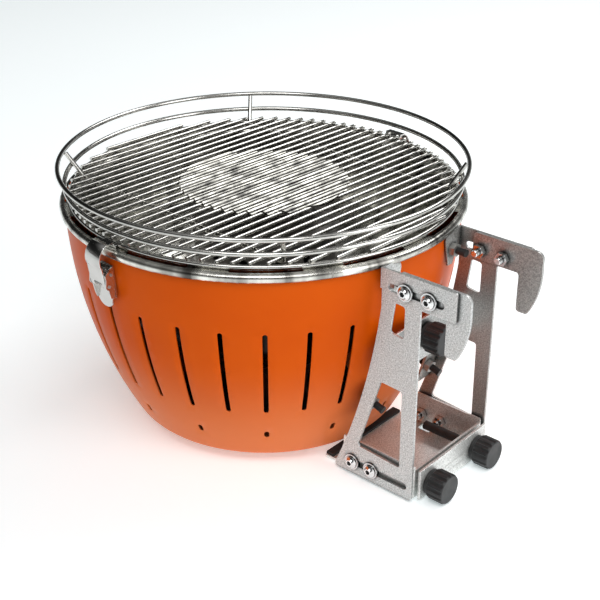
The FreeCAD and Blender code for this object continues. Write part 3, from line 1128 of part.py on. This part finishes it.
# ---------------------------------------------------------------- the whole grill
screw_bores = make_base()
make_fan()
switch_hole = make_speed_knob()
clip_turns = (("_near", dim["clip_azimuth"]), ("_far", dim["clip_azimuth"] + 180))
rivet_bores = [place(group("rivet_bore_turned" + side, [rivet_bar("bowl_rivet_bore" + side)]), angle=turn)
               for side, turn in clip_turns]
make_outer_bowl(screw_bores + [switch_hole] + rivet_bores)
make_inner_bowl()
make_charcoal_parts()
make_grate()
clip_pins, clip_rivets = [], []
for clip_side, clip_turn in clip_turns:
    pivot_pin, clip_rivet = make_clip(clip_side, clip_turn)
    clip_pins.append(pivot_pin)
    clip_rivets.append(clip_rivet)
node(group("clip_pivot_set", clip_pins), "clip_pivot_pins")
node(group("clip_rivet_set", clip_rivets), "clip_rivets")
for plate_side in ("near", "far"):
    make_side_plate(plate_side)
    make_hook(plate_side)
make_bumpers()
make_cross_plate()
make_tray()
make_clamp()
for label, pieces in bolt_nodes.items():
    node(group(label + "_set", pieces), label)

# ---------------------------------------------------------------- checks and files
doc.recompute()
for thing in doc.Objects:
    if "Invalid" in thing.State or "Error" in thing.State:
        raise RuntimeError("%s failed: %s %s" % (thing.Name, thing.State, thing.getStatusString()))
os.makedirs("parts", exist_ok=True)
for label, thing in nodes.items():
    shape = thing.Shape
    if shape.isNull() or not shape.isValid() or not shape.Solids:
        raise RuntimeError("%s has no valid solid" % label)
    shape.exportStep("parts/%s.step" % label)
print("%d sub-parts written" % len(nodes))
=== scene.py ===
"""Looks of the portable tabletop grill: materials, light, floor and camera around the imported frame."""

import math

import bpy
from mathutils import Euler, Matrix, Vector


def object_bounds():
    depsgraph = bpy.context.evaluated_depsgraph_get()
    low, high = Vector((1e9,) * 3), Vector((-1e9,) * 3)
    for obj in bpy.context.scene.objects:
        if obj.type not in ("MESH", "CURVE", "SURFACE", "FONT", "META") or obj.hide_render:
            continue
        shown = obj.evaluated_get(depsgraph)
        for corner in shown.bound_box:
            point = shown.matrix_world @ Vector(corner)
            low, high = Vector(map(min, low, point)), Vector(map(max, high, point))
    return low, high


MM = 0.001

# The camera looks down at the rim from the front right. Its place is in metres, its azimuth and pitch
# are in degrees, and its lens and sensor in millimetres.
CAMERA_PLACE = (0.66336, -0.71137, 0.59647)
CAMERA_AZIMUTH = 131.202
CAMERA_PITCH = -27.2686
CAMERA_LENS = 72.52
SENSOR_WIDTH = 36.0

# How far the edges of each pressed or cut sheet are broken, in millimetres, by node.
SOFT_EDGES = {
    "outer_bowl": 0.30,
    "side_plate_near": 0.35,
    "side_plate_far": 0.35,
    "hook_plate_near": 0.35,
    "hook_plate_far": 0.35,
    "cross_plate": 0.30,
    "tray": 0.30,
    "clamp_plate": 0.30,
    "clip_lever_near": 0.25,
    "clip_lever_far": 0.25,
    "clip_base_near": 0.20,
    "clip_base_far": 0.20,
    "clip_strap_near": 0.20,
    "clip_strap_far": 0.20,
}
# An edge is broken where its faces turn by more degrees than EDGE_ANGLE. Points closer together than
# WELD_DISTANCE, in millimetres, are joined first.
EDGE_ANGLE = 32.0
EDGE_SEGMENTS = 2
WELD_DISTANCE = 0.002

# The liner's hidden outer side, up to BACK_TOP, just under its rolled rim, is painted dark as painted
# shade. A spot is on that side
# where its distance from the axis, times how squarely it faces away from the axis, is over BACK_REACH.
# Both are in metres.
BACK_TOP = 0.193
BACK_REACH = 0.03

# Drawn metal reads its grain on a ring of this radius in metres, with heights squeezed by this much, so
# that the grain becomes streaks.
DRAWN_RING = 0.15
DRAWN_SQUEEZE = 0.12

# Most noise lies in this range. Wear is coarser than grain by WEAR_SCALE, and a bump's depth is
# BUMP_DEPTH times its width. The details are how many finer layers each noise has.
NOISE_RANGE = (0.3, 0.7)
WEAR_SCALE = 1.7
BUMP_DEPTH = 0.2
GRAIN_DETAIL = 3.0
WEAR_DETAIL = 5.0
BUMP_DETAIL = 2.0
# Painted shade and dirt in sockets and corners: the colour that they darken to, and how sharply.
CREVICE_DIRT_AND_SHADE_COLOR = (0.004, 0.004, 0.004)
CREVICE_POWER = 2.0

# The floor is white paper that glows a little. It lies just under the foot, so the two don't flicker.
FLOOR_REACH = 6.0
FLOOR_GAP = 0.0002
PAPER_COLOR = (0.97, 0.97, 0.97)
PAPER_ROUGHNESS = 0.7
PAPER_GLOW = (0.86, 0.98, 1.0)
PAPER_GLOW_STRENGTH = 0.38

# The studio's grey from level (0) to straight up (1), and its strength from the -x side to the +x side.
SKY_LEVEL = 0.95
SKY_TOP = 0.55
SKY_STOPS = ((0.03, 0.9), (0.10, 0.45), (0.28, 0.08), (0.55, 0.05), (0.70, 0.25), (0.85, 0.6))
SIDE_STRENGTH = (0.12, 1.35)

# Each light's place, size and watts. All of them point at the middle of the grill.
LIGHTS = {
    "key_light": ((0.9, -1.1, 2.1), (1.6, 1.0), 23.0),
    "fill_light": ((2.2, 0.3, 1.0), (0.9, 1.8), 20.0),
    "back_light": ((0.3, 1.6, 1.9), (1.8, 0.8), 22.0),
}
LIGHT_TARGET = (0.0, 0.0, 0.12)

# Nodes whose look isn't the one that their slot in the record gives.
OWN_LOOKS = {
    "inner_bowl": "liner_steel",
    "centre_disc": "disc_steel",
    # The far plates take a copy of the bracket steel with painted shade.
    "side_plate_far": "bracket_steel_painted_shade",
    "hook_plate_far": "bracket_steel_painted_shade",
    # The tray and clamp plate take a copy of the bracket steel with painted light.
    "tray": "bracket_steel_painted_light",
    "clamp_plate": "bracket_steel_painted_light",
}

# Each finish: two colours that its grain mixes, and how it takes light. Grain, bump_grain and crevice
# are in millimetres, the band of painted floor light in metres, and bump is a strength. Crevices get
# painted shade with some dirt, the bowl's foot gets painted bounce light from the floor, and the liner's
# back gets painted shade.
FINISHES = {
    # The bowl's paint, paler towards the foot as painted bounce light from the floor.
    "bowl_paint": dict(colors=((0.60, 0.078, 0.0015), (0.64, 0.092, 0.0025)), metallic=0.0,
                       roughness=(0.30, 0.40), grain=60.0, bump_grain=1.6, bump=0.05,
                       specular=0.05, floor_bounce_color=(0.74, 0.20, 0.065), floor_bounce_band=(0.125, 0.02)),
    "polished_steel": dict(colors=((0.52, 0.51, 0.49), (0.66, 0.65, 0.63)), metallic=1.0,
                           roughness=(0.08, 0.20), grain=25.0, bump_grain=3.0, bump=0.03),
    "grate_steel": dict(colors=((0.46, 0.455, 0.43), (0.66, 0.65, 0.62)), metallic=1.0,
                        roughness=(0.10, 0.20), grain=18.0, bump_grain=4.0, bump=0.04),
    "bracket_steel": dict(colors=((0.33, 0.335, 0.33), (0.76, 0.765, 0.755)), metallic=0.92,
                          roughness=(0.34, 0.50), grain=1.1, bump_grain=0.9, bump=0.25, crevice=4.0),
    # The far side plate and hook plate: a darker copy of the bracket steel, painted shade, so they are
    # darker than the near ones.
    "bracket_steel_painted_shade": dict(colors=((0.27, 0.268, 0.26), (0.62, 0.615, 0.595)), metallic=0.92,
                              roughness=(0.34, 0.50), grain=1.1, bump_grain=0.9, bump=0.25, crevice=4.0),
    # For the tray and the clamp plate: a lighter copy of the bracket steel, painted light, brighter than
    # the side plates.
    "bracket_steel_painted_light": dict(colors=((0.52, 0.52, 0.50), (0.95, 0.95, 0.93)), metallic=0.80,
                                 roughness=(0.42, 0.58), grain=1.1, bump_grain=0.9, bump=0.25),
    "housing_steel": dict(colors=((0.36, 0.36, 0.36), (0.46, 0.46, 0.45)), metallic=0.9,
                          roughness=(0.35, 0.50), grain=8.0, bump_grain=1.5, bump=0.08),
    "basket_steel": dict(colors=((0.13, 0.125, 0.12), (0.28, 0.26, 0.24)), metallic=0.8,
                         roughness=(0.35, 0.60), grain=9.0, bump_grain=1.5, bump=0.12),
    "motor_steel": dict(colors=((0.24, 0.24, 0.25), (0.30, 0.30, 0.31)), metallic=0.9,
                        roughness=(0.30, 0.45), grain=6.0, bump_grain=1.0, bump=0.05),
    "chrome_fastener": dict(colors=((0.72, 0.72, 0.72), (0.84, 0.84, 0.84)), metallic=1.0,
                            roughness=(0.14, 0.24), grain=3.0, bump_grain=0.8, bump=0.05, crevice=2.2),
    "zinc_fastener": dict(colors=((0.30, 0.30, 0.29), (0.42, 0.42, 0.40)), metallic=0.9,
                          roughness=(0.30, 0.45), grain=2.0, bump_grain=0.8, bump=0.08),
    "black_steel": dict(colors=((0.018, 0.018, 0.018), (0.030, 0.030, 0.030)), metallic=0.3,
                        roughness=(0.35, 0.50), grain=5.0, bump_grain=0.6, bump=0.08),
    "black_plastic": dict(colors=((0.010, 0.010, 0.010), (0.020, 0.020, 0.021)), metallic=0.0,
                          roughness=(0.42, 0.58), grain=6.0, bump_grain=0.5, bump=0.18),
    "black_rubber": dict(colors=((0.008, 0.008, 0.008), (0.016, 0.016, 0.016)), metallic=0.0,
                         roughness=(0.60, 0.78), grain=4.0, bump_grain=0.6, bump=0.25),
    "base_plastic": dict(colors=((0.012, 0.012, 0.012), (0.022, 0.022, 0.022)), metallic=0.0,
                         roughness=(0.50, 0.70), grain=10.0, bump_grain=0.7, bump=0.2),
    "fan_plastic": dict(colors=((0.012, 0.012, 0.012), (0.020, 0.020, 0.020)), metallic=0.0,
                        roughness=(0.35, 0.45), grain=8.0, bump_grain=0.7, bump=0.1),
    "cell_wrap": dict(colors=((0.045, 0.048, 0.058), (0.060, 0.064, 0.075)), metallic=0.0,
                      roughness=(0.22, 0.32), grain=10.0, bump_grain=2.0, bump=0.05),
    # Finishes of cut and rounded edges, which catch more light than the faces beside them and are also
    # coloured lighter: on the bowl as painted highlight, on the steel as bare cut metal with painted
    # highlight.
    "bowl_edge_highlight": dict(colors=((0.90, 0.16, 0.02), (0.95, 0.20, 0.03)), metallic=0.0,
                      roughness=(0.25, 0.35), grain=20.0, bump_grain=1.0, bump=0.05, specular=0.3),
    "cut_steel_highlight": dict(colors=((0.74, 0.74, 0.73), (0.90, 0.90, 0.89)), metallic=1.0,
                      roughness=(0.18, 0.32), grain=2.0, bump_grain=0.6, bump=0.1),
    # The polished liner, drawn down over a form, so its fine lines run from rim to floor. Its hidden
    # outer side gets painted shade.
    "liner_steel": dict(colors=((0.10, 0.095, 0.088), (0.97, 0.96, 0.89)), metallic=1.0,
                        roughness=(0.20, 0.32), grain=16.0, bump_grain=20.0, bump=0.20, drawn=True,
                        back_shade_color=(0.02, 0.018, 0.016)),
    # The pressed disc, a little wavy, so that each ridge breaks its reflections up.
    "disc_steel": dict(colors=((0.10, 0.098, 0.092), (0.60, 0.59, 0.54)), metallic=1.0,
                       roughness=(0.22, 0.34), grain=13.0, bump_grain=30.0, bump=0.25),
}


def feed(tree, source, target):
    """Links another node's output to an input, or gives the input a fixed value."""
    if isinstance(source, bpy.types.NodeSocket):
        tree.links.new(source, target)
    else:
        target.default_value = source


def arithmetic(tree, operation, first, second):
    """One step of arithmetic on numbers."""
    node = tree.nodes.new("ShaderNodeMath")
    node.operation = operation
    feed(tree, first, node.inputs[0])
    feed(tree, second, node.inputs[1])
    return node.outputs["Value"]


def vector_arithmetic(tree, operation, first, second=(0.0, 0.0, 0.0), output="Vector"):
    """One step of arithmetic on vectors."""
    node = tree.nodes.new("ShaderNodeVectorMath")
    node.operation = operation
    feed(tree, first, node.inputs[0])
    feed(tree, second, node.inputs[1])
    return node.outputs[output]


def component(tree, vector, axis):
    """A vector's X, Y or Z."""
    node = tree.nodes.new("ShaderNodeSeparateXYZ")
    feed(tree, vector, node.inputs["Vector"])
    return node.outputs[axis]


def stretch(tree, value, old_range, new_range, interpolation="LINEAR"):
    """A value carried from its old range to a new one, and held at the new one's ends."""
    node = tree.nodes.new("ShaderNodeMapRange")
    node.interpolation_type = interpolation
    node.inputs["From Min"].default_value, node.inputs["From Max"].default_value = old_range
    node.inputs["To Min"].default_value, node.inputs["To Max"].default_value = new_range
    feed(tree, value, node.inputs["Value"])
    return node.outputs["Result"]


def mix_colors(tree, factor, first, second):
    """The first colour where the factor is 0 and the second where it is 1."""
    node = tree.nodes.new("ShaderNodeMix")
    node.data_type = "RGBA"
    feed(tree, factor, node.inputs["Factor"])
    for color, target in ((first, node.inputs["A"]), (second, node.inputs["B"])):
        feed(tree, (*color, 1.0) if isinstance(color, tuple) else color, target)
    return node.outputs["Result"]


def noise(tree, coords, size_mm, detail):
    """Noise whose features are about size_mm across."""
    node = tree.nodes.new("ShaderNodeTexNoise")
    node.inputs["Scale"].default_value = 1.0 / (size_mm * MM)
    node.inputs["Detail"].default_value = detail
    feed(tree, coords, node.inputs["Vector"])
    return node.outputs["Fac"]


def away_from_axis(tree, coords):
    """The level vector from the object's upright axis to a place."""
    return vector_arithmetic(tree, "MULTIPLY", coords, (1.0, 1.0, 0.0))


def drawn_coords(tree, coords):
    """Coordinates in which noise becomes streaks that run down a bowl's wall."""
    around = vector_arithmetic(tree, "NORMALIZE", away_from_axis(tree, coords))
    ring = vector_arithmetic(tree, "MULTIPLY", around, (DRAWN_RING, DRAWN_RING, DRAWN_RING))
    down = vector_arithmetic(tree, "MULTIPLY", coords, (0.0, 0.0, DRAWN_SQUEEZE))
    return vector_arithmetic(tree, "ADD", ring, down)


def paint_crevice_dirt_and_shade(tree, color, reach_mm):
    """Painted shade and some dirt in sockets and corners that are about reach_mm across, by ambient
    occlusion.
    """
    shade = tree.nodes.new("ShaderNodeAmbientOcclusion")
    shade.inputs["Distance"].default_value = reach_mm * MM
    openness = arithmetic(tree, "POWER", shade.outputs["AO"], CREVICE_POWER)
    return mix_colors(tree, openness, CREVICE_DIRT_AND_SHADE_COLOR, color)


def paint_floor_bounce(tree, coords, color, floor_bounce_color, band):
    """Painted bounce light from the floor: colour that pales towards the foot, between two heights."""
    floor_bounce_mask = stretch(tree, component(tree, coords, "Z"), band, (0.0, 1.0), "SMOOTHSTEP")
    return mix_colors(tree, floor_bounce_mask, color, floor_bounce_color)


def paint_back_shade(tree, coords, color, back_shade_color):
    """Painted shade: a dark second colour on the side of a bowl that faces away from its axis."""
    normal = tree.nodes.new("ShaderNodeNewGeometry").outputs["Normal"]
    outward = vector_arithmetic(tree, "DOT_PRODUCT", away_from_axis(tree, coords), normal, "Value")
    is_back = arithmetic(tree, "GREATER_THAN", outward, BACK_REACH)
    under_rim = arithmetic(tree, "LESS_THAN", component(tree, coords, "Z"), BACK_TOP)
    back_shade_mask = arithmetic(tree, "MULTIPLY", is_back, under_rim)
    return mix_colors(tree, back_shade_mask, color, back_shade_color)


def make_material(name, finish):
    """A finish as a node material: grain in its colour, its roughness and its surface."""
    material = bpy.data.materials.new("look_" + name)
    material.use_nodes = True
    tree = material.node_tree
    shader = tree.nodes["Principled BSDF"]
    place = tree.nodes.new("ShaderNodeTexCoord").outputs["Object"]
    coords = drawn_coords(tree, place) if finish.get("drawn") else place
    grain = noise(tree, coords, finish["grain"], GRAIN_DETAIL)
    color = mix_colors(tree, stretch(tree, grain, NOISE_RANGE, (0.0, 1.0)), *finish["colors"])
    # Painted shade and some dirt, darker in sockets and corners.
    if "crevice" in finish:
        color = paint_crevice_dirt_and_shade(tree, color, finish["crevice"])
    # Painted bounce light from the floor, paler towards the foot.
    if "floor_bounce_color" in finish:
        color = paint_floor_bounce(tree, place, color, finish["floor_bounce_color"], finish["floor_bounce_band"])
    # Painted shade on the liner's hidden outer side.
    if "back_shade_color" in finish:
        color = paint_back_shade(tree, place, color, finish["back_shade_color"])
    feed(tree, color, shader.inputs["Base Color"])
    wear = noise(tree, coords, finish["grain"] * WEAR_SCALE, WEAR_DETAIL)
    feed(tree, stretch(tree, wear, NOISE_RANGE, finish["roughness"]), shader.inputs["Roughness"])
    bump = tree.nodes.new("ShaderNodeBump")
    bump.inputs["Strength"].default_value = finish["bump"]
    bump.inputs["Distance"].default_value = BUMP_DEPTH * finish["bump_grain"] * MM
    feed(tree, noise(tree, coords, finish["bump_grain"], BUMP_DETAIL), bump.inputs["Height"])
    feed(tree, bump.outputs["Normal"], shader.inputs["Normal"])
    shader.inputs["Metallic"].default_value = finish["metallic"]
    shader.inputs["Specular IOR Level"].default_value = finish.get("specular", 0.5)
    return material


def dress_nodes(nodes, looks):
    """Gives each node the look of its slot, or the look that is its own."""
    for obj in nodes.values():
        for index, slot in enumerate(obj.data.materials):
            obj.data.materials[index] = looks[slot.name.split(".")[0]]
    for name, look in OWN_LOOKS.items():
        nodes[name].data.materials[0] = looks[look]


def soften_edges(obj, width_mm, edge_highlight_material):
    """Breaks a sheet's sharp edges, and gives the broken edge its own lighter material, which is partly
    painted highlight.
    """
    weld = obj.modifiers.new("weld", "WELD")
    weld.merge_threshold = WELD_DISTANCE * MM
    bevel = obj.modifiers.new("edges", "BEVEL")
    bevel.width = width_mm * MM
    bevel.segments = EDGE_SEGMENTS
    bevel.limit_method = "ANGLE"
    bevel.angle_limit = math.radians(EDGE_ANGLE)
    bevel.harden_normals = True
    bevel.use_clamp_overlap = True
    obj.data.materials.append(edge_highlight_material)
    bevel.material = len(obj.data.materials) - 1


def make_floor(level):
    """A wide sheet of paper just under the given level."""
    corners = ((-1, -1), (1, -1), (1, 1), (-1, 1))
    mesh = bpy.data.meshes.new("floor")
    mesh.from_pydata([(FLOOR_REACH * x, FLOOR_REACH * y, 0.0) for x, y in corners], [], [(0, 1, 2, 3)])
    paper = bpy.data.materials.new("look_paper")
    paper.use_nodes = True
    shader = paper.node_tree.nodes["Principled BSDF"]
    shader.inputs["Base Color"].default_value = (*PAPER_COLOR, 1.0)
    shader.inputs["Roughness"].default_value = PAPER_ROUGHNESS
    shader.inputs["Emission Color"].default_value = (*PAPER_GLOW, 1.0)
    shader.inputs["Emission Strength"].default_value = PAPER_GLOW_STRENGTH
    mesh.materials.append(paper)
    sheet = bpy.data.objects.new("floor", mesh)
    bpy.context.scene.collection.objects.link(sheet)
    sheet.location.z = level - FLOOR_GAP
    return sheet


def make_world():
    """A studio of greys whose brightness goes by height and by side."""
    world = bpy.data.worlds.new("studio")
    bpy.context.scene.world = world
    world.use_nodes = True
    tree = world.node_tree
    background = tree.nodes["Background"]
    direction = tree.nodes.new("ShaderNodeTexCoord").outputs["Generated"]
    ramp = tree.nodes.new("ShaderNodeValToRGB")
    feed(tree, component(tree, direction, "Z"), ramp.inputs["Fac"])
    stops = ramp.color_ramp.elements
    stops[0].position, stops[0].color = 0.0, (SKY_LEVEL, SKY_LEVEL, SKY_LEVEL, 1.0)
    stops[1].position, stops[1].color = 1.0, (SKY_TOP, SKY_TOP, SKY_TOP, 1.0)
    for position, grey in SKY_STOPS:
        stops.new(position).color = (grey, grey, grey, 1.0)
    feed(tree, ramp.outputs["Color"], background.inputs["Color"])
    strength = stretch(tree, component(tree, direction, "X"), (-1.0, 1.0), SIDE_STRENGTH)
    feed(tree, strength, background.inputs["Strength"])


def make_light(name, place, size, power):
    """A rectangular lamp that points at the middle of the grill."""
    data = bpy.data.lights.new(name, "AREA")
    data.shape = "RECTANGLE"
    data.size, data.size_y = size
    data.energy = power
    lamp = bpy.data.objects.new(name, data)
    bpy.context.scene.collection.objects.link(lamp)
    lamp.location = place
    aim = Vector(LIGHT_TARGET) - Vector(place)
    lamp.rotation_euler = aim.to_track_quat("-Z", "Y").to_euler()


def make_camera():
    """The camera, in the place from which the photo was taken."""
    data = bpy.data.cameras.new("camera")
    data.lens = CAMERA_LENS
    data.sensor_width = SENSOR_WIDTH
    camera = bpy.data.objects.new("camera", data)
    bpy.context.scene.collection.objects.link(camera)
    camera.location = CAMERA_PLACE
    camera.rotation_euler = Euler(
        (math.radians(90 + CAMERA_PITCH), 0.0, math.radians(CAMERA_AZIMUTH - 90)), "XYZ")
    bpy.context.scene.camera = camera


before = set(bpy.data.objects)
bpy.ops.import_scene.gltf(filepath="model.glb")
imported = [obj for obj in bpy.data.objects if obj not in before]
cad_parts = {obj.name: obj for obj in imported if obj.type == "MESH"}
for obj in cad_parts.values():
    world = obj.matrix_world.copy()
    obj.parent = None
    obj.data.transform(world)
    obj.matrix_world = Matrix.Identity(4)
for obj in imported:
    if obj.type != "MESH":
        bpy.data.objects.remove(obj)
cad_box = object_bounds()

looks = {name: make_material(name, finish) for name, finish in FINISHES.items()}
dress_nodes(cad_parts, looks)
for node_name, width in SOFT_EDGES.items():
    # Broken edges get a painted highlight: a lighter orange on the bowl, and bare cut metal made lighter
    # still on the steel.
    edge = looks["bowl_edge_highlight"] if node_name == "outer_bowl" else looks["cut_steel_highlight"]
    soften_edges(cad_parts[node_name], width, edge)

floor = make_floor(cad_box[0][2])
make_world()
for light_name, (place, size, power) in LIGHTS.items():
    make_light(light_name, place, size, power)
bpy.context.scene.view_settings.view_transform = "Standard"
make_camera()
